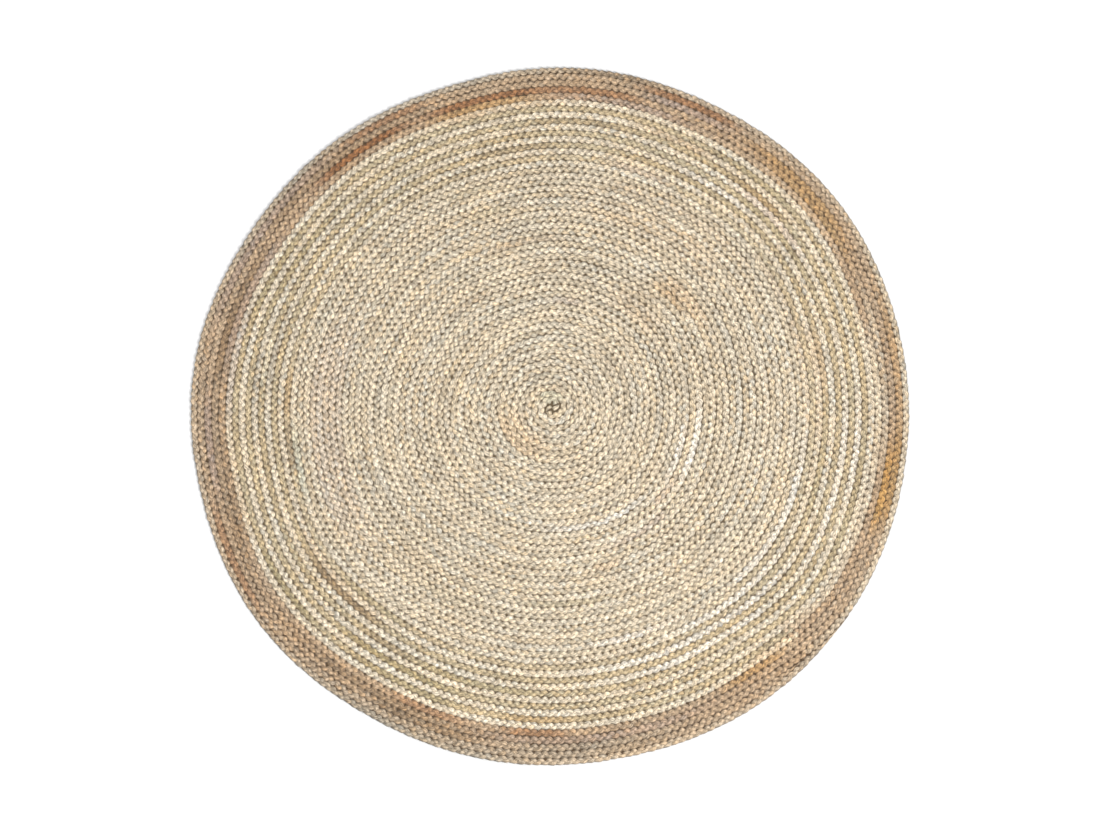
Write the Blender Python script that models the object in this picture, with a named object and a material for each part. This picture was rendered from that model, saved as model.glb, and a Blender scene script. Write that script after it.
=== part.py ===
"""Round braided jute rug, 1.2 m across, lying flat.

The rug is a coil of flat three-strand plaits sewn edge to edge.  Two sub-parts are
modelled: the natural field that fills the middle and the brown border of five plait
rows sewn round it.  The rug's outline wanders a few millimetres because it is sewn by
hand, and it drops by most of a row where the outermost plait ends and is tucked in.

Metres, +Z up.  The rug rests on z = 0 with its outline centred on the origin.
"""

import math

import bpy

OBJECT_NAME = "round_jute_rug"

# Driving sizes, in metres.
RUG_RADIUS = 0.600
THICKNESS = 0.008
BORDER_ROWS = 5
BORDER_ROW_WIDTH = 0.0114
SEAM_GAP = 0.0003
EDGE_ROUNDING = 0.0028
EDGE_ROUNDING_STEPS = 1
OUTLINE_STEPS = 180

BORDER_WIDTH = BORDER_ROWS * BORDER_ROW_WIDTH

# Unevenness of the hand-sewn outline: each row is a wave that goes round the rug
# "count" times, with its height in metres and the angle of one crest in degrees.
OUTLINE_WAVES = (
    {"count": 2, "height": 0.0024, "crest": 25.0},
    {"count": 3, "height": 0.0014, "crest": -50.0},
    {"count": 5, "height": 0.0005, "crest": 15.0},
    {"count": 8, "height": 0.0015, "crest": -7.0},
    {"count": 9, "height": 0.0006, "crest": 11.0},
)

# Where the outermost plait ends: the outline drops by "depth" between the two angles
# in degrees, then the rows below work back out until "regained".
PLAIT_END = {"start": 322.0, "lowest": 354.0, "regained": 402.0, "depth": 0.008}

FINISHES = {
    "natural_jute": {"colour": (0.62, 0.52, 0.37, 1.0), "roughness": 0.95},
    "brown_jute": {"colour": (0.43, 0.32, 0.20, 1.0), "roughness": 0.95},
}


def clear_scene():
    """Remove whatever the scene holds."""
    for item in list(bpy.data.objects):
        bpy.data.objects.remove(item, do_unlink=True)


def collection(name):
    """Return a new collection linked to the scene."""
    group = bpy.data.collections.new(name)
    bpy.context.scene.collection.children.link(group)
    return group


def jute_material(name):
    """Return the matt material of one colour of jute."""
    finish = FINISHES[name]
    material = bpy.data.materials.new(name)
    material.use_nodes = True
    shader = material.node_tree.nodes["Principled BSDF"]
    shader.inputs["Base Color"].default_value = finish["colour"]
    shader.inputs["Roughness"].default_value = finish["roughness"]
    shader.inputs["Metallic"].default_value = 0.0
    return material


def plait_end_drop(degrees):
    """Return how far the tucked-in plait end lowers the outline at an angle."""
    turn = degrees if degrees >= PLAIT_END["start"] else degrees + 360.0
    if turn > PLAIT_END["regained"]:
        return 0.0
    if turn < PLAIT_END["lowest"]:
        span = PLAIT_END["lowest"] - PLAIT_END["start"]
        share = (turn - PLAIT_END["start"]) / span
    else:
        span = PLAIT_END["regained"] - PLAIT_END["lowest"]
        share = (PLAIT_END["regained"] - turn) / span
    return PLAIT_END["depth"] * (0.5 - 0.5 * math.cos(math.pi * share))


def outline_radius(degrees):
    """Return the rug's radius at an angle."""
    radius = RUG_RADIUS - plait_end_drop(degrees)
    for wave in OUTLINE_WAVES:
        phase = math.radians(wave["count"] * (degrees - wave["crest"]))
        radius += wave["height"] * math.cos(phase)
    return radius


def rug_loop(inset):
    """Return the points of the outline moved inwards by an inset."""
    points = []
    for step in range(OUTLINE_STEPS):
        degrees = 360.0 * step / OUTLINE_STEPS
        radius = outline_radius(degrees) - inset
        angle = math.radians(degrees)
        points.append((radius * math.cos(angle), radius * math.sin(angle)))
    return points


def outline_centre():
    """Return the middle of the outline's box."""
    xs, ys = zip(*rug_loop(0.0))
    return (min(xs) + max(xs)) / 2.0, (min(ys) + max(ys)) / 2.0


def flat_piece(name, insets, material, group):
    """Make a flat piece, rounded along its edges, between one or two insets of the outline.

    The flat shape is a filled 2D curve.  Its edge rounding grows outwards from the
    curve, so every loop is drawn inside the cloth by the rounding.
    """
    curve = bpy.data.curves.new(name, "CURVE")
    curve.dimensions = "2D"
    curve.fill_mode = "BOTH"
    curve.extrude = THICKNESS / 2.0 - EDGE_ROUNDING
    curve.bevel_depth = EDGE_ROUNDING
    curve.bevel_resolution = EDGE_ROUNDING_STEPS
    centre_x, centre_y = outline_centre()
    for inset in insets:
        points = rug_loop(inset)
        spline = curve.splines.new("POLY")
        spline.points.add(len(points) - 1)
        for point, (x, y) in zip(spline.points, points):
            point.co = (x - centre_x, y - centre_y, 0.0, 1.0)
        spline.use_cyclic_u = True
        spline.use_smooth = True
    curve.materials.append(material)
    piece = bpy.data.objects.new(name, curve)
    piece.location = (0.0, 0.0, THICKNESS / 2.0)
    group.objects.link(piece)
    return piece


def natural_field(group):
    """Make the natural coloured middle of the rug."""
    inset = BORDER_WIDTH + SEAM_GAP + EDGE_ROUNDING
    return flat_piece("natural_field", (inset,), jute_material("natural_jute"), group)


def brown_border(group):
    """Make the brown ring sewn round the field."""
    outer = EDGE_ROUNDING
    inner = BORDER_WIDTH - EDGE_ROUNDING
    return flat_piece("brown_border", (outer, inner), jute_material("brown_jute"), group)


def main():
    """Build the rug."""
    clear_scene()
    group = collection(OBJECT_NAME)
    natural_field(group)
    brown_border(group)


if __name__ == "__main__":
    main()
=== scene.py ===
import logging
import math
from dataclasses import dataclass, field
from enum import Enum

import bpy
import numpy as np
from mathutils import Matrix, Vector


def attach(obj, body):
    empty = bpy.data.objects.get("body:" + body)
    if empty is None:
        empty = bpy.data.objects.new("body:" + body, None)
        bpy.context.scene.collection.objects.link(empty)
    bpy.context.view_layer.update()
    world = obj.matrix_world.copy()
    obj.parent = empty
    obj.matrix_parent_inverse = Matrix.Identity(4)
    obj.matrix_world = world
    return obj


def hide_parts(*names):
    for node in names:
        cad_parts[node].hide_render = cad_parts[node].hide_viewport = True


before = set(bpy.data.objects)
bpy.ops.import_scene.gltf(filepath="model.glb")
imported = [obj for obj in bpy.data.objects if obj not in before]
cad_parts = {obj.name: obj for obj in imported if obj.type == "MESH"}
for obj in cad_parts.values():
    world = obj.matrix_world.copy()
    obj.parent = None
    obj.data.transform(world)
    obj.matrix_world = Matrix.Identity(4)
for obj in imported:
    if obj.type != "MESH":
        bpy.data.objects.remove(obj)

LOG = logging.getLogger("jute_rug")
FULL_TURN = 360.0


class Jute(Enum):
    """The three sorts of plait in the rug."""

    LIGHT = "light"
    DUSKY = "dusky"
    BROWN = "brown"


def srgb(red: float, green: float, blue: float) -> np.ndarray:
    """Turn a colour given in 0 to 255 screen values into linear values.

    Args:
        red: Red, 0 to 255.
        green: Green, 0 to 255.
        blue: Blue, 0 to 255.

    Returns:
        The three linear values.
    """
    value = np.array([red, green, blue]) / 255.0
    return np.where(value <= 0.04045, value / 12.92, ((value + 0.055) / 1.055) ** 2.4)


def smooth(value: np.ndarray) -> np.ndarray:
    """Ease a value from 0 to 1, flat at both ends.

    Args:
        value: Values; below 0 gives 0 and above 1 gives 1.

    Returns:
        The eased values.
    """
    value = np.clip(value, 0.0, 1.0)
    return value * value * (3.0 - 2.0 * value)


def angle_between(degrees: np.ndarray, other: np.ndarray) -> np.ndarray:
    """Return the turn from one angle to another, from -180 to 180 degrees.

    Args:
        degrees: Angles to measure.
        other: Angle to measure from.

    Returns:
        The turns in degrees.
    """
    return (np.asarray(degrees) - other + 180.0) % FULL_TURN - 180.0


def deselect_all() -> None:
    """Leave edit mode and deselect every object."""
    if bpy.context.object is not None and bpy.context.object.mode != "OBJECT":
        bpy.ops.object.mode_set(mode="OBJECT")
    bpy.ops.object.select_all(action="DESELECT")


def make_active(piece: bpy.types.Object) -> None:
    """Select one object only and make it the active one.

    Args:
        piece: The object.
    """
    deselect_all()
    piece.select_set(True)
    bpy.context.view_layer.objects.active = piece


def coordinates(mesh: bpy.types.Mesh) -> np.ndarray:
    """Return a mesh's vertex places as an array.

    Args:
        mesh: The mesh.

    Returns:
        One row of X, Y and Z per vertex.
    """
    values = np.empty(len(mesh.vertices) * 3)
    mesh.vertices.foreach_get("co", values)
    return values.reshape(-1, 3)


def place_vertices(mesh: bpy.types.Mesh, places: np.ndarray) -> None:
    """Move a mesh's vertices to the places in an array.

    Args:
        mesh: The mesh.
        places: One row of X, Y and Z per vertex.
    """
    mesh.vertices.foreach_set("co", np.ascontiguousarray(places, dtype=np.float64).ravel())
    mesh.update()


def read_point_values(mesh: bpy.types.Mesh, name: str) -> np.ndarray:
    """Return a mesh's values of one number per vertex.

    Args:
        mesh: The mesh.
        name: Name of the values.

    Returns:
        One number per vertex.
    """
    values = np.empty(len(mesh.vertices))
    mesh.attributes[name].data.foreach_get("value", values)
    return values


def write_point_values(mesh: bpy.types.Mesh, name: str, values: np.ndarray) -> None:
    """Store one number per vertex on a mesh.

    Args:
        mesh: The mesh.
        name: Name of the values.
        values: One number per vertex.
    """
    layer = mesh.attributes.new(name, "FLOAT", "POINT")
    layer.data.foreach_set("value", np.ascontiguousarray(values, dtype=np.float64))


def apply_modifiers(piece: bpy.types.Object) -> None:
    """Apply an object's modifiers in their order.

    Args:
        piece: The object.
    """
    make_active(piece)
    for modifier in list(piece.modifiers):
        bpy.ops.object.modifier_apply(modifier=modifier.name)


@dataclass(frozen=True)
class Wander:
    """An even, repeatable wandering of a value along a length.

    Attributes:
        spacing: Distance between two free values, in metres.
        height: Standard deviation of the free values.
        seed: Seed of the random draws.
    """

    spacing: float
    height: float
    seed: int

    def along(self, distance: np.ndarray) -> np.ndarray:
        """Return the value at each distance along the length.

        Args:
            distance: Distances in metres.

        Returns:
            One value per distance.
        """
        count = int(distance.max() / self.spacing) + 4
        knots = np.random.default_rng(self.seed).normal(0.0, self.height, count)
        limit = 2.2 * self.height
        return np.interp(distance / self.spacing + 1.0, np.arange(count), np.clip(knots, -limit, limit))


@dataclass(frozen=True)
class Unevenness:
    """How a hand-made plait strays from an even one.

    Each line holds the spacing of the free values in metres and their standard
    deviation: a share for plumpness, tone and warmth, and metres for the rest.
    """

    plumpness: tuple[float, float] = (0.006, 0.07)
    slow_plumpness: tuple[float, float] = (0.12, 0.05)
    along: tuple[float, float] = (0.009, 0.0006)
    across: tuple[float, float] = (0.008, 0.00028)
    up: tuple[float, float] = (0.007, 0.00022)
    rise: tuple[float, float] = (0.05, 0.00012)
    tone: tuple[float, float] = (0.014, 0.085)
    slow_tone: tuple[float, float] = (0.16, 0.05)
    warmth: tuple[float, float] = (0.05, 0.035)


UNEVEN = Unevenness()


class Rim:
    """The rug's outline, read from the border of the frame's model."""

    def __init__(self, centre: tuple[float, float]) -> None:
        """Read the outline.

        Args:
            centre: The middle of the coil in the frame, in metres.
        """
        places = coordinates(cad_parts["brown_border"].data)[:, :2] - np.array(centre)
        angles = np.degrees(np.arctan2(places[:, 1], places[:, 0])) % FULL_TURN
        radii = np.hypot(places[:, 0], places[:, 1])
        sector = 2.0
        bins = np.arange(0.0, FULL_TURN, sector)
        outer = [radii[np.abs(angle_between(angles, mid)) <= sector].max() for mid in bins]
        self.angles = np.concatenate((bins - FULL_TURN, bins, bins + FULL_TURN))
        self.radii = np.tile(outer, 3)
        self.mean = float(np.mean(outer))

    def radius(self, degrees: np.ndarray) -> np.ndarray:
        """Return the outline's radius at each angle.

        Args:
            degrees: Angles about the coil's middle.

        Returns:
            Radii in metres.
        """
        return np.interp(np.asarray(degrees) % FULL_TURN, self.angles, self.radii)


@dataclass
class CoilPlan:
    """Where the rows of the coil lie.

    A row number counts rows from the middle to the rim, and a coil turn is the angle in
    degrees that a plait has run since the middle.  Two plaits lie side by side, so each
    full turn moves a plait out by two rows.  Near the rim the rounds are almost closed
    rings, and the plaits step out to the next round in one short stretch.

    Attributes:
        centre: Middle of the coil in the frame, in metres.
        field_rows: Number of natural rows.
        all_rows: Number of rows in all.
        row_marks: Row numbers whose mean radii are known.
        radius_marks: Those radii in metres.
        step_angle: Angle of the steps in degrees.
        steps_begin: Row at which the rounds start to close into rings.
        steps_grow: Number of rows over which they do.
        step_rows: Rows whose step widths are known.
        step_widths: Those widths in degrees.
        rows_of_full_wave: Row from which the rounds follow the outline fully.
        bulges: Places where the rounds lean out or in, which drift from row to row.
    """

    centre: tuple[float, float] = (0.0040, 0.0011)
    field_rows: int = 50
    all_rows: int = 55
    row_marks: tuple[float, ...] = (0.0, 50.0, 54.0, 55.0)
    radius_marks: tuple[float, ...] = (0.0, 0.5430, 0.5902, 0.6000)
    step_angle: float = 315.0
    steps_begin: float = 10.0
    steps_grow: float = 32.0
    step_rows: tuple[float, ...] = (0.0, 20.0, 45.0)
    step_widths: tuple[float, ...] = (180.0, 110.0, 24.0)
    rows_of_full_wave: float = 28.0
    bulges: tuple[dict[str, float], ...] = (
        {"angle": 215.0, "drift": 0.75, "width": 15.0, "height": 0.0050, "from_row": 0.0},
        {"angle": 172.0, "drift": 0.05, "width": 7.0, "height": -0.0022, "from_row": 36.0},
        {"angle": 262.0, "drift": 0.40, "width": 10.0, "height": -0.0018, "from_row": 20.0},
        {"angle": 118.0, "drift": 0.60, "width": 12.0, "height": 0.0015, "from_row": 14.0},
        {"angle": 40.0, "drift": -0.30, "width": 9.0, "height": 0.0014, "from_row": 30.0},
    )
    rim: Rim = field(init=False)

    def __post_init__(self) -> None:
        """Read the outline about the coil's middle."""
        self.rim = Rim(self.centre)

    def radius(self, row: np.ndarray, degrees: np.ndarray) -> np.ndarray:
        """Return the radius of a row number at an angle.

        Args:
            row: Row numbers; 0 is the middle and 55 the rim.
            degrees: Angles about the coil's middle.

        Returns:
            Radii in metres.
        """
        row = np.asarray(row, dtype=float)
        scale = self.rim.mean / self.radius_marks[-1]
        plain = np.interp(row, self.row_marks, self.radius_marks) * scale
        share = smooth(row / self.rows_of_full_wave)
        wave = (self.rim.radius(degrees) - self.rim.mean) * share
        inside_rim = np.clip((self.all_rows - row) / 5.0, 0.0, 1.0)
        for bulge in self.bulges:
            middle = bulge["angle"] - (self.field_rows - row) * bulge["drift"]
            away = angle_between(degrees, middle) / bulge["width"]
            begun = smooth((row - bulge["from_row"]) / 18.0)
            wave = wave + bulge["height"] * np.exp(-(away**2)) * begun * inside_rim
        return plain + wave

    def rounds(self, turn: np.ndarray) -> np.ndarray:
        """Return how many rounds a plait has moved out after a coil turn in degrees.

        Args:
            turn: Coil turns in degrees.

        Returns:
            Rounds, each two rows wide.
        """
        turn = np.asarray(turn, dtype=float)
        depth = turn * 2.0 / FULL_TURN
        stepped = smooth((depth - self.steps_begin) / self.steps_grow)
        width = np.interp(depth, self.step_rows, self.step_widths)
        whole = np.floor(turn / FULL_TURN + 0.5)
        share = smooth((turn - FULL_TURN * whole) / width + 0.5)
        return (1.0 - stepped) * turn / FULL_TURN + stepped * (whole - 0.5 + share)

    def angle(self, turn: np.ndarray) -> np.ndarray:
        """Return the angle about the middle after a coil turn in degrees.

        Args:
            turn: Coil turns in degrees.

        Returns:
            Angles in degrees.
        """
        return self.step_angle + np.asarray(turn, dtype=float)

    def place(self, row: np.ndarray, degrees: np.ndarray) -> np.ndarray:
        """Return the X and Y of a row number at an angle, in metres.

        Args:
            row: Row numbers.
            degrees: Angles about the coil's middle.

        Returns:
            One row of X and Y per point.
        """
        radius = self.radius(row, degrees)
        angle = np.radians(degrees)
        x = self.centre[0] + radius * np.cos(angle)
        y = self.centre[1] + radius * np.sin(angle)
        return np.stack((x, y), axis=-1)


@dataclass
class PlaitRoute:
    """The way that one plait takes through the coil.

    Attributes:
        plan: The coil's plan.
        lane: Half a row out or in from the middle of the two plaits, in rows.
        start: Coil turn at which the plait starts, in degrees.
        end: Coil turn at which it ends.
        spread: Its width over a row's width.
        closing: Whether the plait narrows to its end at the last step.
        spacing: Distance between the route's points, in metres.
    """

    plan: CoilPlan
    lane: float
    start: float
    end: float
    spread: float
    closing: bool = False
    spacing: float = 0.006

    def __post_init__(self) -> None:
        """Work out the route's points and sizes."""
        coarse = np.linspace(self.start, self.end, int((self.end - self.start) * 2.0) + 2)
        places = self.plan.place(self.rows(coarse)[0], self.plan.angle(coarse))
        steps = np.hypot(*np.diff(places, axis=0).T)
        lengths = np.concatenate(([0.0], np.cumsum(steps)))
        self.length = float(lengths[-1])
        count = int(self.length / self.spacing) + 2
        self.distance = np.linspace(0.0, self.length, count)
        self.turn = np.interp(self.distance, lengths, coarse)
        self.row, narrowing = self.rows(self.turn)
        angles = self.plan.angle(self.turn)
        self.points = self.plan.place(self.row, angles)
        radial = self.plan.radius(self.row + 0.5, angles) - self.plan.radius(self.row - 0.5, angles)
        radii = self.plan.radius(self.row, angles)
        climb = np.gradient(radii) / (radii * np.gradient(np.radians(angles)))
        self.width = radial * narrowing * self.spread / np.hypot(1.0, climb)

    def rows(self, turn: np.ndarray) -> tuple[np.ndarray, np.ndarray]:
        """Return the row number and the narrowing of the plait at each coil turn.

        At the last step the inner of the two plaits ends first.  The outer one keeps the
        rim until the round inside it has come half way out, then narrows to nothing.

        Args:
            turn: Coil turns in degrees.

        Returns:
            The row numbers and the shares of the full width.
        """
        row = 2.0 * self.plan.rounds(turn) + self.lane
        narrowing = np.ones_like(row)
        if not self.closing:
            return row, narrowing
        last_step = FULL_TURN * np.floor(self.end / FULL_TURN + 0.5)
        share = smooth((turn - last_step) / self.plan.step_widths[-1] + 0.5)
        if self.lane > 0.0:
            return row - share, np.clip(1.0 - 2.0 * share, 0.2, 1.0)
        late = np.clip(share - 0.5, 0.0, None)
        return row - 2.0 * share + late, np.clip(1.0 - 2.0 * late, 0.2, 1.0)

    def repeats(self, repeat_length: float) -> tuple[int, float]:
        """Return how many plait repeats fill the route, and their exact length.

        Args:
            repeat_length: Length of an unstretched repeat in metres.

        Returns:
            The count and the length in metres.
        """
        count = max(1, round(self.length / repeat_length))
        return count, self.length / count

    def stretch(self, start: float, end: float) -> np.ndarray:
        """Return the points from one distance to another, about 6 mm apart.

        Args:
            start: First distance in metres.
            end: Last distance in metres.

        Returns:
            One row of X and Y per point.
        """
        count = max(3, int((end - start) / self.spacing) + 2)
        distance = np.linspace(start, end, count)
        columns = [np.interp(distance, self.distance, self.points[:, axis]) for axis in (0, 1)]
        return np.stack(columns, axis=-1)


@dataclass
class PlaitRepeat:
    """One repeat of a flat three-strand plait, straight along +X.

    Each strand swings from one side to the other and back, and goes over a neighbour
    and under the next one in each half of the swing.

    Attributes:
        length: Length of the repeat.
        width: Width of the plait.
        sway: How far a strand's axis swings to each side.
        squareness: How much the swing lingers at the sides.
        lift: How far the axis goes up and down.
        hurry: How far the strand runs ahead where it crosses the middle.
        strand_width: Width of a strand, before the widths below.
        strand_height: Height of a strand, before the heights below.
        plumpness: Share of the width and height that a strand has underneath.
        swelling: Share of the width and height that it gains on top.
        banking: How far it leans to the middle, in radians.
        sides: Number of a strand's sides.
        half_stations: Phases of the rings of half a swing, closer where it curves most.
    """

    length: float = 0.0381
    width: float = 0.0109
    sway: float = 0.0031
    squareness: float = 0.07
    lift: float = 0.0017
    hurry: float = 0.0022
    strand_width: float = 0.0073
    strand_height: float = 0.0045
    plumpness: tuple[float, float] = (0.86, 0.92)
    swelling: tuple[float, float] = (0.18, 0.14)
    banking: float = 0.35
    sides: int = 6
    half_stations: tuple[float, ...] = (0.0, 28.0, 55.0, 82.0, 122.0)

    def axis(self, phase: np.ndarray) -> np.ndarray:
        """Return the places of a strand's axis at phases in degrees, from its own start.

        Args:
            phase: Phases of the swing in degrees.

        Returns:
            Places along, across and up, in metres.
        """
        swing = np.radians(phase)
        along = self.length * phase / FULL_TURN - self.hurry * np.sin(swing) ** 2
        across = self.sway * (np.cos(swing) - self.squareness * np.cos(3.0 * swing))
        up = self.lift * np.sin(2.0 * swing)
        return np.stack((along, across, up), axis=-1)

    def section(self, phase: np.ndarray, around: np.ndarray) -> np.ndarray:
        """Return the offsets of a strand's skin from its axis.

        Args:
            phase: Phases of the swing in degrees.
            around: Angles round the strand in degrees.

        Returns:
            Offsets along, across and up, in metres.
        """
        swing = np.radians(phase)
        turn = np.radians(around)
        slope = self.slope(phase)
        on_top = 0.5 + 0.5 * np.sin(2.0 * swing)
        wide = self.strand_width * (self.plumpness[0] + self.swelling[0] * on_top) / 2.0
        high = self.strand_height * (self.plumpness[1] + self.swelling[1] * on_top) / 2.0
        side = wide * np.cos(turn)
        up = high * np.sin(turn)
        bank = -self.banking * np.cos(swing) * np.cos(2.0 * swing)
        side, up = side * np.cos(bank) - up * np.sin(bank), side * np.sin(bank) + up * np.cos(bank)
        return np.stack((-side * np.sin(slope), side * np.cos(slope), up), axis=-1)

    def slope(self, phase: np.ndarray) -> np.ndarray:
        """Return the angle of a strand to the plait, in radians.

        Args:
            phase: Phases of the swing in degrees.

        Returns:
            Angles in radians.
        """
        ahead = self.axis(np.asarray(phase) + 1.0)
        behind = self.axis(np.asarray(phase) - 1.0)
        step = ahead - behind
        return np.arctan2(step[..., 1], step[..., 0])

    def strand(self, number: int) -> bpy.types.Object:
        """Model one strand of the repeat.

        An open tube is cut into rings, and the rings are moved onto the strand's path.

        Args:
            number: 0, 1 or 2; each strand lags a third of the repeat behind the last.

        Returns:
            The strand's object.
        """
        deselect_all()
        half = np.array(self.half_stations)
        stations = np.concatenate((half, half + FULL_TURN / 2.0, (FULL_TURN,)))
        rings = len(stations)
        bpy.ops.mesh.primitive_cylinder_add(
            vertices=self.sides,
            radius=self.strand_height / 2.0,
            depth=self.length,
            end_fill_type="NOTHING",
            rotation=(0.0, math.pi / 2.0, 0.0),
        )
        tube = bpy.context.object
        bpy.ops.object.transform_apply(location=True, rotation=True, scale=True)
        mesh = tube.data
        bpy.ops.object.mode_set(mode="EDIT")
        bpy.ops.mesh.select_mode(type="EDGE")
        bpy.ops.mesh.select_all(action="DESELECT")
        bpy.ops.object.mode_set(mode="OBJECT")
        for edge in mesh.edges:
            first, second = (mesh.vertices[index].co for index in edge.vertices)
            edge.select = abs(first.x - second.x) > self.length / 2.0
        bpy.ops.object.mode_set(mode="EDIT")
        bpy.ops.mesh.subdivide(number_cuts=rings - 2)
        bpy.ops.mesh.select_mode(type="VERT")
        bpy.ops.object.mode_set(mode="OBJECT")
        places = coordinates(mesh)
        ring = np.rint((places[:, 0] / self.length + 0.5) * (rings - 1)).astype(int)
        phase = stations[ring]
        around = np.degrees(np.arctan2(places[:, 2], places[:, 1]))
        shaped = self.axis(phase) + self.section(phase, around)
        shaped[:, 0] += number * self.length / 3.0
        place_vertices(mesh, shaped)
        write_point_values(mesh, "phase", phase)
        write_point_values(mesh, "around", around)
        write_point_values(mesh, "strand", np.full(len(phase), float(number)))
        write_point_values(mesh, "own_x", shaped[:, 0])
        return tube

    def model(self) -> bpy.types.Object:
        """Model the whole repeat as one object.

        Returns:
            The object with the three strands.
        """
        strands = [self.strand(number) for number in range(3)]
        make_active(strands[0])
        for strand in strands[1:]:
            strand.select_set(True)
        bpy.ops.object.join()
        repeat = bpy.context.object
        repeat.name = "plait_repeat"
        return repeat


@dataclass(frozen=True)
class Patch:
    """A stretch of one or more rows in another shade.

    Attributes:
        rows: First and last row number, counted from the middle.
        middle: Angle of its middle in degrees.
        reach: Half its length in degrees.
        shade: Name of the shade in Dyes.
        strength: How far the jute goes to the shade, 0 to 1.
    """

    rows: tuple[int, int]
    middle: float
    reach: float
    shade: str
    strength: float


SHADES = {
    "rust": srgb(158, 106, 62),
    "amber": srgb(190, 146, 84),
    "umber": srgb(138, 112, 82),
    "lilac": srgb(168, 148, 138),
    "grey": srgb(172, 162, 144),
    "olive": srgb(166, 150, 108),
    "cream": srgb(238, 226, 200),
    "white": srgb(244, 236, 224),
    "peach": srgb(226, 196, 158),
    "pink": srgb(214, 192, 176),
    "sage": srgb(196, 194, 168),
}

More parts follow.
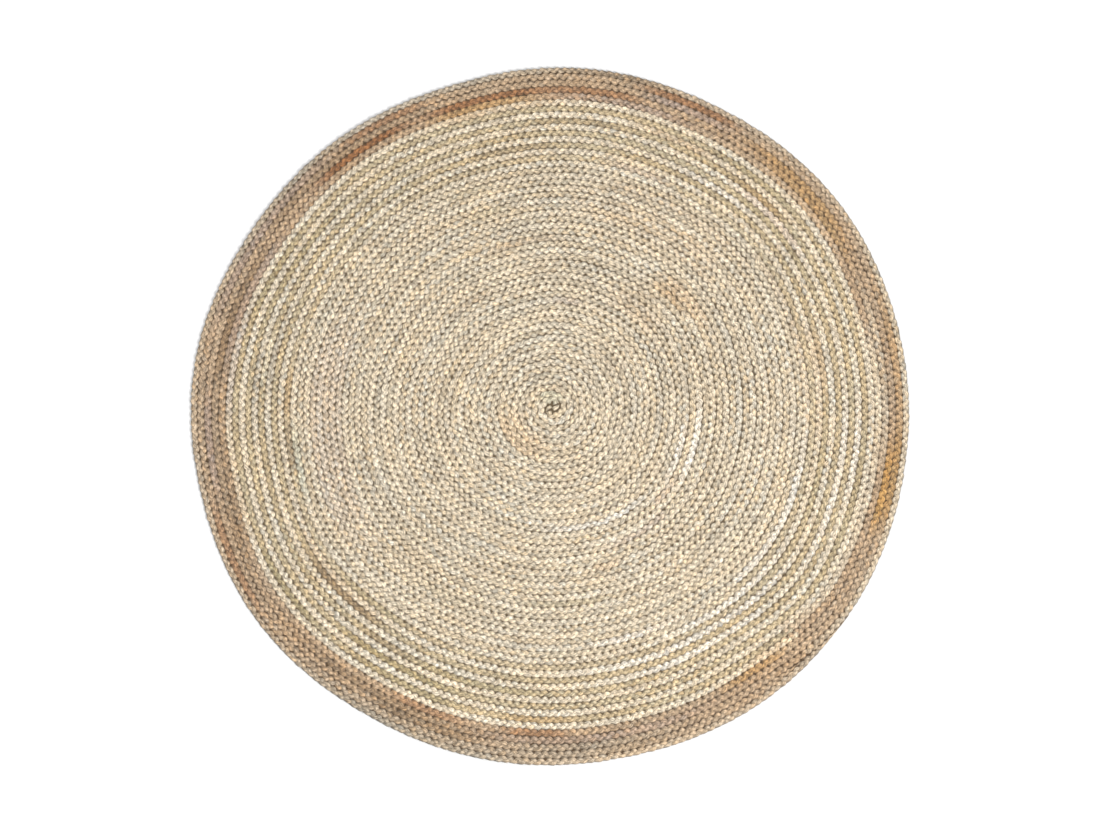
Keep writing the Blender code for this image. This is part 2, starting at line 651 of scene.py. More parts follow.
PATCHES = (
    Patch((55, 55), 12.0, 18.0, "cream", 0.35),
    Patch((55, 55), 80.0, 7.0, "umber", 0.55),
    Patch((55, 55), 125.0, 32.0, "grey", 0.45),
    Patch((55, 55), 248.0, 16.0, "grey", 0.55),
    Patch((55, 55), 340.0, 18.0, "cream", 0.30),
    Patch((54, 54), 8.0, 12.0, "amber", 0.35),
    Patch((54, 54), 66.0, 8.0, "rust", 0.75),
    Patch((54, 54), 120.0, 7.0, "rust", 0.60),
    Patch((54, 54), 148.0, 16.0, "lilac", 0.50),
    Patch((54, 54), 206.0, 9.0, "rust", 0.55),
    Patch((54, 54), 262.0, 24.0, "grey", 0.40),
    Patch((54, 54), 348.0, 8.0, "amber", 0.75),
    Patch((53, 53), 42.0, 11.0, "amber", 0.60),
    Patch((53, 53), 66.0, 7.0, "lilac", 0.55),
    Patch((53, 53), 132.0, 16.0, "umber", 0.40),
    Patch((53, 53), 186.0, 8.0, "lilac", 0.55),
    Patch((53, 53), 248.0, 9.0, "umber", 0.65),
    Patch((53, 53), 275.0, 14.0, "grey", 0.40),
    Patch((53, 53), 346.0, 7.0, "amber", 0.95),
    Patch((52, 52), 6.0, 14.0, "cream", 0.30),
    Patch((52, 52), 39.0, 11.0, "amber", 0.60),
    Patch((52, 52), 84.0, 9.0, "rust", 0.65),
    Patch((52, 52), 102.0, 10.0, "rust", 0.85),
    Patch((52, 52), 126.0, 9.0, "rust", 0.95),
    Patch((52, 52), 164.0, 12.0, "umber", 0.70),
    Patch((52, 52), 196.0, 14.0, "umber", 0.40),
    Patch((52, 52), 240.0, 16.0, "umber", 0.45),
    Patch((52, 52), 278.0, 18.0, "lilac", 0.40),
    Patch((51, 51), 4.0, 9.0, "cream", 0.55),
    Patch((51, 51), 40.0, 12.0, "peach", 0.30),
    Patch((51, 51), 78.0, 12.0, "lilac", 0.40),
    Patch((51, 51), 103.0, 9.0, "amber", 0.60),
    Patch((51, 51), 160.0, 12.0, "lilac", 0.45),
    Patch((51, 51), 195.0, 10.0, "umber", 0.40),
    Patch((51, 51), 248.0, 6.0, "rust", 0.50),
    Patch((51, 51), 267.0, 5.0, "rust", 0.60),
    Patch((51, 51), 307.0, 6.0, "amber", 0.60),
    Patch((51, 51), 338.0, 22.0, "cream", 0.45),
    Patch((50, 50), 100.0, 9.0, "amber", 0.35),
    Patch((50, 50), 172.0, 10.0, "lilac", 0.40),
    Patch((50, 50), 195.0, 7.0, "amber", 0.25),
    Patch((50, 50), 312.0, 8.0, "peach", 0.45),
    Patch((49, 49), 48.0, 7.0, "olive", 0.35),
    Patch((49, 49), 154.0, 8.0, "olive", 0.45),
    Patch((49, 49), 215.0, 8.0, "olive", 0.55),
    Patch((49, 49), 243.0, 10.0, "olive", 0.50),
    Patch((49, 49), 268.0, 6.0, "amber", 0.35),
    Patch((49, 49), 340.0, 14.0, "olive", 0.25),
    Patch((48, 48), 66.0, 7.0, "amber", 0.40),
    Patch((48, 48), 15.0, 10.0, "cream", 0.30),
    Patch((48, 48), 352.0, 9.0, "white", 0.40),
    Patch((47, 47), 46.0, 6.0, "amber", 0.45),
    Patch((47, 47), 85.0, 10.0, "umber", 0.25),
    Patch((47, 47), 150.0, 12.0, "olive", 0.30),
    Patch((47, 47), 240.0, 12.0, "olive", 0.65),
    Patch((46, 46), 42.0, 9.0, "pink", 0.45),
    Patch((46, 46), 173.0, 6.0, "grey", 0.45),
    Patch((46, 46), 345.0, 16.0, "white", 0.40),
    Patch((45, 45), 40.0, 10.0, "olive", 0.25),
    Patch((45, 45), 170.0, 5.0, "cream", 0.60),
    Patch((45, 45), 237.0, 6.0, "umber", 0.35),
    Patch((45, 45), 255.0, 12.0, "olive", 0.40),
    Patch((44, 44), 55.0, 8.0, "white", 0.35),
    Patch((44, 44), 168.0, 8.0, "grey", 0.45),
    Patch((44, 44), 305.0, 18.0, "white", 0.50),
    Patch((43, 43), 10.0, 7.0, "peach", 0.50),
    Patch((43, 43), 98.0, 8.0, "umber", 0.30),
    Patch((43, 43), 222.0, 10.0, "umber", 0.65),
    Patch((43, 43), 345.0, 8.0, "olive", 0.25),
    Patch((42, 42), 6.0, 12.0, "peach", 0.35),
    Patch((42, 42), 215.0, 14.0, "peach", 0.30),
    Patch((42, 42), 305.0, 24.0, "white", 0.45),
    Patch((41, 41), 70.0, 7.0, "pink", 0.40),
    Patch((41, 41), 177.0, 5.0, "amber", 0.40),
    Patch((41, 41), 188.0, 5.0, "umber", 0.40),
    Patch((41, 41), 228.0, 8.0, "olive", 0.40),
    Patch((40, 40), 12.0, 20.0, "peach", 0.25),
    Patch((40, 40), 192.0, 8.0, "sage", 0.50),
    Patch((40, 40), 325.0, 24.0, "white", 0.50),
    Patch((38, 38), 60.0, 18.0, "peach", 0.30),
    Patch((38, 38), 110.0, 6.0, "olive", 0.30),
    Patch((38, 38), 290.0, 10.0, "white", 0.50),
    Patch((37, 37), 70.0, 6.0, "umber", 0.30),
    Patch((33, 37), 185.0, 26.0, "pink", 0.30),
    Patch((34, 34), 108.0, 6.0, "olive", 0.35),
    Patch((34, 34), 240.0, 7.0, "olive", 0.25),
    Patch((32, 35), 62.0, 20.0, "peach", 0.30),
    Patch((31, 31), 274.0, 12.0, "olive", 0.30),
    Patch((27, 28), 40.0, 10.0, "peach", 0.55),
    Patch((28, 28), 98.0, 10.0, "amber", 0.30),
    Patch((26, 26), 44.0, 8.0, "amber", 0.45),
    Patch((26, 26), 288.0, 5.0, "peach", 0.50),
    Patch((24, 24), 345.0, 14.0, "white", 0.70),
    Patch((23, 23), 310.0, 18.0, "pink", 0.40),
    Patch((22, 22), 125.0, 8.0, "umber", 0.25),
    Patch((22, 22), 340.0, 12.0, "white", 0.50),
    Patch((20, 22), 50.0, 12.0, "peach", 0.35),
    Patch((19, 19), 290.0, 22.0, "white", 0.50),
    Patch((18, 18), 82.0, 7.0, "lilac", 0.35),
    Patch((5, 8), 222.0, 34.0, "peach", 0.50),
    Patch((6, 6), 100.0, 20.0, "olive", 0.20),
    Patch((1, 3), 90.0, 50.0, "sage", 0.50),
)


@dataclass
class Dyes:
    """The colours of the jute along every row."""

    light: np.ndarray = field(default_factory=lambda: srgb(226, 210, 184))
    dusky: np.ndarray = field(default_factory=lambda: srgb(219, 202, 174))
    dusky_outer: np.ndarray = field(default_factory=lambda: srgb(204, 184, 148))
    brown: np.ndarray = field(default_factory=lambda: srgb(192, 164, 132))
    brown_rim: np.ndarray = field(default_factory=lambda: srgb(200, 178, 150))

    def base(self, kind: Jute, row: np.ndarray) -> np.ndarray:
        """Return the plain colour of a sort of jute at row numbers.

        Args:
            kind: Sort of jute.
            row: Row numbers.

        Returns:
            One linear colour per row number.
        """
        if kind is Jute.LIGHT:
            return np.broadcast_to(self.light, (len(row), 3)).copy()
        if kind is Jute.DUSKY:
            share = smooth((row - 38.5) / 4.0)[:, None]
            return self.dusky * (1.0 - share) + self.dusky_outer * share
        share = smooth(row - 53.7)[:, None]
        return self.brown * (1.0 - share) + self.brown_rim * share

    def patched(self, colour: np.ndarray, row: np.ndarray, degrees: np.ndarray) -> np.ndarray:
        """Return colours with the patches laid on.

        Args:
            colour: Plain colours.
            row: Their row numbers.
            degrees: Their angles in degrees.

        Returns:
            The changed colours.
        """
        for patch in PATCHES:
            inside = (row >= patch.rows[0]) & (row <= patch.rows[1])
            away = np.abs(angle_between(degrees, patch.middle)) / patch.reach
            share = (patch.strength * smooth(1.5 - away) * inside)[:, None]
            colour = colour * (1.0 - share) + SHADES[patch.shade] * share
        return colour


@dataclass
class Plait:
    """One sort of jute, plaited and coiled along its route.

    Attributes:
        name: Start of its pieces' names.
        kind: Sort of jute.
        route: Its way through the coil.
        slot: Material slot in the record.
        parts: Number of pieces it is made in.
        seed: Seed of its unevenness.
        first_row: Row number of its first round.
        middle_height: Height of its middle over the floor.
        fibre_twist: Length in which its fibres turn once about the strand.
    """

    name: str
    kind: Jute
    route: PlaitRoute
    slot: str
    parts: int
    seed: int
    first_row: int
    middle_height: float = 0.0040
    fibre_twist: float = 0.11

    def build(self, repeat: PlaitRepeat, model: bpy.types.Object, dyes: Dyes) -> list[bpy.types.Object]:
        """Build the plait's pieces.

        Args:
            repeat: Sizes of the plait repeat.
            model: The modelled repeat, which is copied.
            dyes: Colours of the jute.

        Returns:
            The pieces, in order from the middle outwards.
        """
        count, length = self.route.repeats(repeat.length)
        cuts = np.rint(np.linspace(0, count, self.parts + 1)).astype(int)
        pieces = []
        for number, (first, last) in enumerate(zip(cuts[:-1], cuts[1:]), start=1):
            piece = self.straight_length(model, repeat, int(last - first))
            piece.name = f"{self.name}_{number}"
            piece.data.name = piece.name
            self.uneven(piece.data, repeat, int(first), length, dyes)
            self.coil(piece, float(first * length), float(last * length))
            pieces.append(piece)
        return pieces

    def straight_length(
        self, model: bpy.types.Object, repeat: PlaitRepeat, count: int
    ) -> bpy.types.Object:
        """Return a straight plait of so many repeats, with closed ends.

        Args:
            model: The modelled repeat, which is copied.
            repeat: Sizes of the plait repeat.
            count: Number of repeats.

        Returns:
            The straight plait.
        """
        piece = bpy.data.objects.new(self.name, model.data.copy())
        bpy.context.scene.collection.objects.link(piece)
        array = piece.modifiers.new("repeats", "ARRAY")
        array.count = count
        array.use_relative_offset = False
        array.use_constant_offset = True
        array.constant_offset_displace = (repeat.length, 0.0, 0.0)
        array.use_merge_vertices = True
        array.merge_threshold = 0.0001
        apply_modifiers(piece)
        bpy.ops.object.mode_set(mode="EDIT")
        bpy.ops.mesh.select_all(action="SELECT")
        bpy.ops.mesh.fill_holes(sides=repeat.sides)
        bpy.ops.object.mode_set(mode="OBJECT")
        bpy.ops.object.shade_smooth()
        return piece

    def uneven(
        self, mesh: bpy.types.Mesh, repeat: PlaitRepeat, first: int, length: float, dyes: Dyes
    ) -> None:
        """Give a straight plait its hand-made unevenness, its width and its colours.

        Args:
            mesh: Mesh of the straight plait.
            repeat: Sizes of the plait repeat.
            first: Number of repeats of the plait before this piece.
            length: Exact length of a repeat.
            dyes: Colours of the jute.
        """
        places = coordinates(mesh)
        phase = read_point_values(mesh, "phase")
        around = read_point_values(mesh, "around")
        strand = read_point_values(mesh, "strand")
        copy = np.rint((places[:, 0] - read_point_values(mesh, "own_x")) / repeat.length)
        shift = (copy + strand / 3.0) * repeat.length
        axis = repeat.axis(phase)
        skin = repeat.section(phase, around)
        own = (copy + phase / FULL_TURN + first) * length
        for number in range(3):
            mine = strand == number
            seed = self.seed + 10 * number
            fat = 1.0 + Wander(*UNEVEN.plumpness, seed).along(own[mine])
            fat = fat + Wander(*UNEVEN.slow_plumpness, seed + 1).along(own[mine])
            skin[mine] *= fat[:, None]
            axis[mine, 0] += Wander(*UNEVEN.along, seed + 2).along(own[mine])
            axis[mine, 1] += Wander(*UNEVEN.across, seed + 3).along(own[mine])
            axis[mine, 2] += Wander(*UNEVEN.up, seed + 4).along(own[mine])
        axis[:, 0] += shift
        shaped = axis + skin
        shaped[:, 0] *= length / repeat.length
        distance = shaped[:, 0] + first * length
        wide = np.interp(distance, self.route.distance, self.route.width)
        squeeze = wide / repeat.width
        shaped[:, 1] *= squeeze
        shaped[:, 2] *= np.clip(squeeze, 0.75, 1.0) ** 0.5
        rise = Wander(*UNEVEN.rise, self.seed + 5).along(np.clip(distance, 0, None))
        shaped[:, 2] += self.middle_height + rise
        shaped[:, 2] = np.maximum(shaped[:, 2], 0.0)
        place_vertices(mesh, shaped)
        self.colour(mesh, own, strand, skin, distance, dyes)

    def colour(
        self,
        mesh: bpy.types.Mesh,
        own: np.ndarray,
        strand: np.ndarray,
        skin: np.ndarray,
        distance: np.ndarray,
        dyes: Dyes,
    ) -> None:
        """Store the jute's colours and the direction of its fibres on a mesh.

        Args:
            mesh: Mesh of the plait.
            own: Distance of each vertex along its strand.
            strand: Number of its strand.
            skin: Its offset from the strand's axis.
            distance: Its distance along the plait.
            dyes: Colours of the jute.
        """
        turn = np.interp(distance, self.route.distance, self.route.turn)
        degrees = self.route.plan.angle(turn) % FULL_TURN
        row = self.first_row + 2.0 * np.floor(turn / FULL_TURN)
        colour = dyes.patched(dyes.base(self.kind, row), row, degrees)
        tone = np.ones(len(own))
        warm = np.zeros(len(own))
        for number in range(3):
            mine = strand == number
            seed = self.seed + 100 + 10 * number
            tone[mine] += Wander(*UNEVEN.tone, seed).along(own[mine])
            tone[mine] += Wander(*UNEVEN.slow_tone, seed + 1).along(own[mine])
            warm[mine] += Wander(*UNEVEN.warmth, seed + 2).along(own[mine])
        tint = np.stack((1.0 + warm, np.ones_like(warm), 1.0 - 1.4 * warm), axis=-1)
        colour = colour * tone[:, None] * tint
        values = np.concatenate((np.clip(colour, 0.0, 1.0), np.ones((len(own), 1))), axis=1)
        layer = mesh.color_attributes.new("jute", "FLOAT_COLOR", "POINT")
        layer.data.foreach_set("color", values.ravel())
        twist = own * (2.0 * math.pi / self.fibre_twist)
        side = skin[:, 1] * np.cos(twist) - skin[:, 2] * np.sin(twist)
        up = skin[:, 1] * np.sin(twist) + skin[:, 2] * np.cos(twist)
        fibre = np.stack((own, side, up + strand * 0.05), axis=-1)
        layer = mesh.attributes.new("fibre", "FLOAT_VECTOR", "POINT")
        layer.data.foreach_set("vector", fibre.ravel())
        for name in ("phase", "around", "strand", "own_x"):
            mesh.attributes.remove(mesh.attributes[name])

    def coil(self, piece: bpy.types.Object, start: float, end: float) -> None:
        """Bend a straight plait along its part of the route.

        Args:
            piece: The straight plait.
            start: Distance at which the part starts.
            end: Distance at which it ends.
        """
        points = self.route.stretch(start, end)
        curve = bpy.data.curves.new(piece.name + "_route", "CURVE")
        curve.dimensions = "3D"
        curve.twist_mode = "Z_UP"
        spline = curve.splines.new("POLY")
        spline.points.add(len(points) - 1)
        flat = np.zeros((len(points), 4))
        flat[:, :2] = points
        flat[:, 3] = 1.0
        spline.points.foreach_set("co", flat.ravel())
        route = bpy.data.objects.new(curve.name, curve)
        bpy.context.scene.collection.objects.link(route)
        bend = piece.modifiers.new("coil", "CURVE")
        bend.object = route
        bend.deform_axis = "POS_X"
        apply_modifiers(piece)
        bpy.data.objects.remove(route, do_unlink=True)
        bpy.data.curves.remove(curve)


@dataclass
class Ground:
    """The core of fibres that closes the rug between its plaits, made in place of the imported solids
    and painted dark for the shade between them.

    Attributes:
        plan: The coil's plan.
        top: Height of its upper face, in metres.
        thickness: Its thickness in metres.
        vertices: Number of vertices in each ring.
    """

    plan: CoilPlan
    top: float = 0.0034
    thickness: float = 0.0014
    vertices: int = 240

    def sheet(self, name: str, rows: tuple[float, ...]) -> bpy.types.Object:
        """Make a thin sheet through rings on the given row numbers, from the outside in.

        Args:
            name: The piece's name.
            rows: Row numbers of its rings.  A last row of 0 closes the middle.

        Returns:
            The sheet's object.
        """
        deselect_all()
        bpy.ops.mesh.primitive_circle_add(vertices=self.vertices, radius=1.0, fill_type="NOTHING")
        sheet = bpy.context.object
        sheet.name = name
        bpy.ops.object.mode_set(mode="EDIT")
        for _ in rows[1:]:
            bpy.ops.mesh.extrude_region_move(TRANSFORM_OT_translate={"value": (0.0, 0.0, 0.0)})
            bpy.ops.transform.resize(value=(0.9, 0.9, 1.0))
        if rows[-1] == 0.0:
            bpy.ops.mesh.merge(type="CENTER")
        bpy.ops.object.mode_set(mode="OBJECT")
        places = coordinates(sheet.data)
        radii = np.hypot(places[:, 0], places[:, 1])
        degrees = np.degrees(np.arctan2(places[:, 1], places[:, 0]))
        ring = np.rint(np.log(np.maximum(radii, 1e-9)) / math.log(0.9)).astype(int)
        last = len(rows) - 1
        row = np.array(rows)[np.clip(ring, 0, last)]
        flat = self.plan.place(row, degrees)
        places[:, :2] = np.where((radii < 1e-6)[:, None], np.array(self.plan.centre), flat)
        places[:, 2] = self.top
        place_vertices(sheet.data, places)
        thick = sheet.modifiers.new("thickness", "SOLIDIFY")
        thick.thickness = self.thickness
        thick.offset = -1.0
        apply_modifiers(sheet)
        bpy.ops.object.mode_set(mode="EDIT")
        bpy.ops.mesh.select_all(action="SELECT")
        bpy.ops.mesh.normals_make_consistent(inside=False)
        bpy.ops.object.mode_set(mode="OBJECT")
        bpy.ops.object.shade_smooth_by_angle(angle=math.radians(40.0))
        return sheet


class NodeSheet:
    """A material's node tree, with short ways to add and join nodes."""

    def __init__(self, name: str) -> None:
        """Make an empty material.

        Args:
            name: The material's name.
        """
        self.material = bpy.data.materials.new(name)
        self.material.use_nodes = True
        self.tree = self.material.node_tree
        self.shader = self.tree.nodes["Principled BSDF"]

    def add(self, kind: str, **values: object) -> bpy.types.Node:
        """Add a node and set the named properties on it.

        Args:
            kind: Blender's name of the node type.
            values: Properties to set.

        Returns:
            The node.
        """
        node = self.tree.nodes.new(kind)
        for name, value in values.items():
            setattr(node, name, value)
        return node

    def join(self, output: bpy.types.NodeSocket, target: bpy.types.NodeSocket) -> None:
        """Join an output to an input.

        Args:
            output: Socket the value comes from.
            target: Socket it goes to.
        """
        self.tree.links.new(output, target)

    def noise(
        self, source: bpy.types.NodeSocket, scale: tuple[float, float, float], detail: float
    ) -> bpy.types.NodeSocket:
        """Add a noise that is stretched by a scale, and return its value.

        Args:
            source: Coordinates of the noise.
            scale: Grains per metre on each axis.
            detail: Number of finer layers.

        Returns:
            The value, 0 to 1.
        """
        stretch = self.add("ShaderNodeMapping")
        stretch.inputs["Scale"].default_value = scale
        noise = self.add("ShaderNodeTexNoise")
        noise.inputs["Scale"].default_value = 1.0
        noise.inputs["Detail"].default_value = detail
        noise.inputs["Roughness"].default_value = 0.6
        self.join(source, stretch.inputs["Vector"])
        self.join(stretch.outputs["Vector"], noise.inputs["Vector"])
        return noise.outputs["Fac"]

    def ranged(
        self, source: bpy.types.NodeSocket, span: tuple[float, float], result: tuple[float, float]
    ) -> bpy.types.NodeSocket:
        """Map a value from one span to another and keep it inside.

        Args:
            source: The value.
            span: Its span.
            result: The span that it becomes.

        Returns:
            The mapped value.
        """
        node = self.add("ShaderNodeMapRange")
        node.inputs["From Min"].default_value = span[0]
        node.inputs["From Max"].default_value = span[1]
        node.inputs["To Min"].default_value = result[0]
        node.inputs["To Max"].default_value = result[1]
        self.join(source, node.inputs["Value"])
        return node.outputs["Result"]

    def times(self, first: bpy.types.NodeSocket, second: bpy.types.NodeSocket) -> bpy.types.NodeSocket:
        """Multiply two values.

        Args:
            first: A value.
            second: Another value.

        Returns:
            Their product.
        """
        node = self.add("ShaderNodeMath", operation="MULTIPLY")
        self.join(first, node.inputs[0])
        self.join(second, node.inputs[1])
        return node.outputs[0]

    def scaled(self, colour: bpy.types.NodeSocket, value: bpy.types.NodeSocket) -> bpy.types.NodeSocket:
        """Make a colour darker or lighter by a value.

        Args:
            colour: The colour.
            value: The factor.

        Returns:
            The scaled colour.
        """
        node = self.add("ShaderNodeVectorMath", operation="SCALE")
        self.join(colour, node.inputs[0])
        self.join(value, node.inputs["Scale"])
        return node.outputs["Vector"]

    def mixed(
        self, share: bpy.types.NodeSocket, colour: bpy.types.NodeSocket, tint: tuple[float, float, float]
    ) -> bpy.types.NodeSocket:
        """Mix a plain tint into a colour by a share.

        Args:
            share: Share of the tint, 0 to 1.
            colour: The colour.
            tint: The tint, in linear values.

        Returns:
            The mixed colour.
        """
        node = self.add("ShaderNodeMix", data_type="RGBA")
        node.inputs[7].default_value = (*tint, 1.0)
        self.join(share, node.inputs[0])
        self.join(colour, node.inputs[6])
        return node.outputs[2]

    def raised(self, height: bpy.types.NodeSocket, strength: float, distance: float) -> None:
        """Raise the surface by a value.

        Args:
            height: The value.
            strength: Strength of the relief.
            distance: Height of the relief in metres.
        """
        bump = self.add("ShaderNodeBump")
        bump.inputs["Strength"].default_value = strength
        bump.inputs["Distance"].default_value = distance
        self.join(height, bump.inputs["Height"])
        self.join(bump.outputs["Normal"], self.shader.inputs["Normal"])


@dataclass(frozen=True)
class JuteFinish:
    """Dry, slightly lustrous jute with its fibres along the strand.

    Attributes:
        name: The material's name.
        fine_grain: Grains per metre of the single fibres, along and across.
        bundle_grain: Grains per metre of the bundles of fibres.
        shred_grain: Grains per metre of the bits of bark.
        painted_shade_heights: Heights over the floor between which the painted shade in the creases
            fades out, in metres.
        fleck: Colour of the bits of bark left in the jute.
        painted_crease_shade: How much of the colour is left deep between the strands, where the painted
            shade is darkest.
        roughness: Roughness of the fibres.
        sheen: Strength of the soft shine at grazing angles.
    """

    name: str
    fine_grain: tuple[float, float, float] = (150.0, 2600.0, 2600.0)
    bundle_grain: tuple[float, float, float] = (120.0, 620.0, 620.0)
    shred_grain: tuple[float, float, float] = (260.0, 900.0, 900.0)
    painted_shade_heights: tuple[float, float] = (0.0040, 0.0072)
    fleck: tuple[float, float, float] = (0.20, 0.125, 0.055)
    painted_crease_shade: float = 0.30
    roughness: float = 0.62
    sheen: float = 0.15

    def material(self) -> bpy.types.Material:
        """Return the plaits' material.

        Returns:
            The material.
        """
        sheet = NodeSheet(self.name)
        sheet.shader.inputs["Roughness"].default_value = self.roughness
        sheet.shader.inputs["Sheen Weight"].default_value = self.sheen
        sheet.shader.inputs["Sheen Roughness"].default_value = 0.6
        sheet.shader.inputs["Specular IOR Level"].default_value = 0.35
        dye = sheet.add("ShaderNodeAttribute", attribute_name="jute")
        fibre = sheet.add("ShaderNodeAttribute", attribute_name="fibre").outputs["Vector"]
        fine = sheet.noise(fibre, self.fine_grain, 2.0)
        bundles = sheet.noise(fibre, self.bundle_grain, 2.0)
        shreds = sheet.noise(fibre, self.shred_grain, 2.0)
        place = sheet.add("ShaderNodeTexCoord")
        split = sheet.add("ShaderNodeSeparateXYZ")
        sheet.join(place.outputs["Object"], split.inputs["Vector"])
        # Painted shade and highlight: the colour darkens towards the floor in the creases between the
        # strands, down to painted_crease_shade, and is painted 6% lighter on the highest tops.
        painted_height_shade = sheet.ranged(split.outputs["Z"], self.painted_shade_heights, (self.painted_crease_shade, 1.06))
        shade = sheet.times(sheet.ranged(fine, (0.3, 0.7), (0.84, 1.12)), painted_height_shade)
        shade = sheet.times(sheet.ranged(bundles, (0.36, 0.64), (0.50, 1.40)), shade)
        colour = sheet.scaled(dye.outputs["Color"], shade)
        colour = sheet.mixed(sheet.ranged(shreds, (0.62, 0.70), (0.0, 0.75)), colour, self.fleck)
        sheet.join(colour, sheet.shader.inputs["Base Color"])
        sheet.raised(sheet.times(fine, bundles), 0.7, 0.0009)
        return sheet.material


@dataclass(frozen=True)
class CoreFinish:
    """Fibres deep between the plaits, painted dark as the shade there.

    Attributes:
        name: The material's name.
        dark: The darker colour, in linear values.
        pale: The paler colour, in linear values.
    """

    name: str
    dark: tuple[float, float, float]
    pale: tuple[float, float, float]

    def material(self) -> bpy.types.Material:
        """Return the core's material.

        Returns:
            The material.
        """
        sheet = NodeSheet(self.name)
        sheet.shader.inputs["Roughness"].default_value = 0.95
        place = sheet.add("ShaderNodeTexCoord")
        noise = sheet.noise(place.outputs["Object"], (600.0, 600.0, 600.0), 4.0)
        ramp = sheet.add("ShaderNodeValToRGB")
        ramp.color_ramp.elements[0].position = 0.35
        ramp.color_ramp.elements[0].color = (*self.dark, 1.0)
        ramp.color_ramp.elements[1].position = 0.70
        ramp.color_ramp.elements[1].color = (*self.pale, 1.0)
        sheet.join(noise, ramp.inputs["Fac"])
        sheet.join(ramp.outputs["Color"], sheet.shader.inputs["Base Color"])
        sheet.raised(noise, 0.4, 0.0005)
        return sheet.material


@dataclass
class Rug:
    """The whole rug: four plaits and the core between them."""

    plan: CoilPlan = field(default_factory=CoilPlan)
    repeat: PlaitRepeat = field(default_factory=PlaitRepeat)
    dyes: Dyes = field(default_factory=Dyes)
    field_turns: float = 25.0

    def plaits(self) -> list[Plait]:
        """Return the plaits in their order along the coil.

        Returns:
            The four plaits.
        """
        change = self.field_turns * FULL_TURN
        half_step = self.plan.step_widths[-1] / 2.0
        brown_inner_end = change + 2.0 * FULL_TURN - 0.25 * half_step
        brown_outer_end = change + 3.0 * FULL_TURN + 0.55 * half_step
        light = PlaitRoute(self.plan, 0.5, 0.0, change, 1.09)
        dusky = PlaitRoute(self.plan, -0.5, FULL_TURN / 2.0, change, 0.96)
        brown_in = PlaitRoute(self.plan, 0.5, change, brown_inner_end, 1.03, closing=True)
        brown_out = PlaitRoute(self.plan, -0.5, change, brown_outer_end, 1.03, closing=True)
        return [
            Plait("light_plait", Jute.LIGHT, light, "natural_jute", 3, 11, 2),
            Plait("dusky_plait", Jute.DUSKY, dusky, "natural_jute", 3, 1011, 1),
            Plait("brown_plait_inner", Jute.BROWN, brown_in, "brown_jute", 1, 2011, 2),
            Plait("brown_plait_outer", Jute.BROWN, brown_out, "brown_jute", 1, 3011, 1),
        ]

    def build(self) -> None:
        """Build every piece, dress it and tie it to the frame."""
        model = self.repeat.model()
        natural = JuteFinish("natural_jute_strands").material()
        brown = JuteFinish("brown_jute_strands").material()
        pieces: dict[str, list[bpy.types.Object]] = {"natural_jute": [], "brown_jute": []}
        for plait in self.plaits():
            for piece in plait.build(self.repeat, model, self.dyes):
                material = natural if plait.slot == "natural_jute" else brown
                piece.data.materials.clear()
                piece.data.materials.append(material)
                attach(piece, "root")
                pieces[plait.slot].append(piece)
                LOG.info("%s: %d faces", piece.name, len(piece.data.polygons))
        bpy.data.objects.remove(model, do_unlink=True)
        self.build_cores()

    def build_cores(self) -> None:
        """Build the two core sheets, which stand for the frame's two solids.
        """
        ground = Ground(self.plan)
        middle = ground.sheet("field_core", (49.8, 44.0, 36.0, 28.0, 20.0, 12.0, 5.0, 0.0))
        ring = ground.sheet("border_core", (54.6, 53.5, 52.0, 50.5, 49.9))
        # Painted shade: both cores are coloured far darker than the jute, so that the gaps between the
        # plaits look shaded.
        natural = CoreFinish("natural_core_painted_shade", (0.07, 0.048, 0.026), (0.20, 0.15, 0.09))
        brown = CoreFinish("brown_core_painted_shade", (0.05, 0.03, 0.015), (0.14, 0.09, 0.05))
        middle.data.materials.append(natural.material())
        ring.data.materials.append(brown.material())
        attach(middle, "root")
        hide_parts("natural_field")
        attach(ring, "root")
        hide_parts("brown_border")
        for core in (middle, ring):
            LOG.info("%s: %d faces", core.name, len(core.data.polygons))


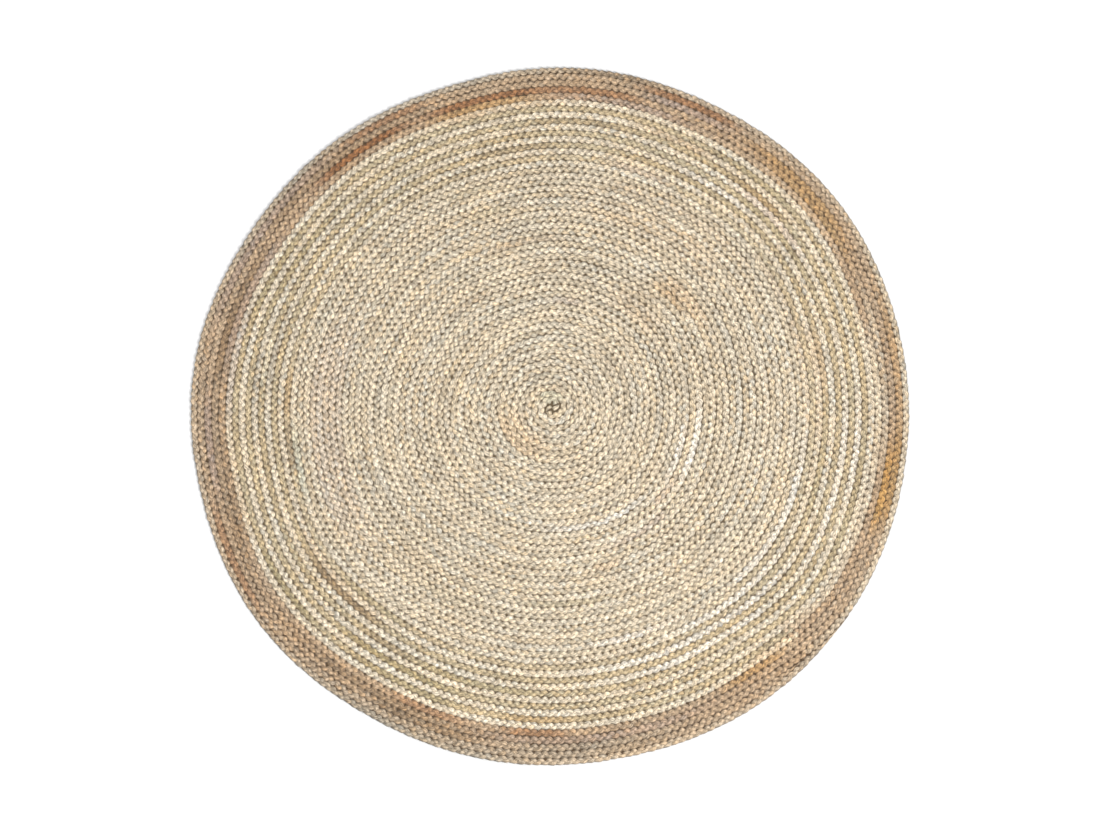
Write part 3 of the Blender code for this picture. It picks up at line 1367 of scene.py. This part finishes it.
@dataclass
class Studio:
    """Pale floor, soft light and the camera.

    Attributes:
        tilt: Height of the camera over the floor, in degrees.
        distance: Distance of the camera, in metres.
        lens: Focal length in millimetres.
        aim: Point of the floor that the camera faces.
    """

    tilt: float = 75.8
    distance: float = 6.6
    lens: float = 129.4
    aim: tuple[float, float] = (0.0, -0.005)

    def floor(self) -> None:
        """Lay the floor."""
        deselect_all()
        bpy.ops.mesh.primitive_plane_add(size=30.0, location=(0.0, 0.0, -0.0002))
        floor = bpy.context.object
        floor.name = "studio_floor"
        material = bpy.data.materials.new("pale_floor")
        material.use_nodes = True
        shader = material.node_tree.nodes["Principled BSDF"]
        shader.inputs["Base Color"].default_value = (0.93, 0.93, 0.93, 1.0)
        shader.inputs["Roughness"].default_value = 0.9
        floor.data.materials.append(material)

    def light(self, name: str, place: tuple[float, float, float], size: float, power: float) -> None:
        """Hang a soft square light that faces the rug.

        Args:
            name: Name of the light.
            place: Its place in metres.
            size: Its side in metres.
            power: Its power in watts.
        """
        lamp = bpy.data.lights.new(name, "AREA")
        lamp.shape = "SQUARE"
        lamp.size = size
        lamp.energy = power
        holder = bpy.data.objects.new(name, lamp)
        holder.matrix_world = self.facing(Vector(place), Vector((0.0, 0.0, 0.0)))
        bpy.context.scene.collection.objects.link(holder)

    @staticmethod
    def facing(place: Vector, target: Vector) -> Matrix:
        """Return the matrix of something at a place that looks at a target.

        Args:
            place: The place in metres.
            target: What it looks at.

        Returns:
            The matrix.
        """
        turn = (target - place).to_track_quat("-Z", "Y").to_matrix().to_4x4()
        return Matrix.Translation(place) @ turn

    def camera(self) -> None:
        """Set up the camera."""
        camera = bpy.data.cameras.new("studio_camera")
        camera.lens = self.lens
        camera.sensor_width = 36.0
        camera.clip_end = 60.0
        tilt = math.radians(self.tilt)
        target = Vector((*self.aim, 0.0))
        away = Vector((0.0, -math.cos(tilt), math.sin(tilt))) * self.distance
        holder = bpy.data.objects.new("studio_camera", camera)
        holder.matrix_world = self.facing(target + away, target)
        bpy.context.scene.collection.objects.link(holder)
        bpy.context.scene.camera = holder

    def world(self) -> None:
        """Give the room an even pale light."""
        world = bpy.data.worlds.new("studio_room")
        world.use_nodes = True
        background = world.node_tree.nodes["Background"]
        background.inputs["Color"].default_value = (1.0, 1.0, 1.0, 1.0)
        background.inputs["Strength"].default_value = 0.50
        bpy.context.scene.world = world

    def build(self) -> None:
        """Build the studio."""
        self.floor()
        self.world()
        self.light("key_light", (2.0, -2.4, 3.6), 2.2, 188.0)
        self.light("fill_light", (-2.2, 2.0, 3.6), 3.0, 66.0)
        self.camera()
        bpy.context.scene.view_settings.view_transform = "Standard"


def main() -> None:
    """Build the rug and its studio in order."""
    logging.basicConfig(level=logging.INFO, format="%(message)s")
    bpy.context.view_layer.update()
    Rug().build()
    Studio().build()


if __name__ == "__main__":
    main()
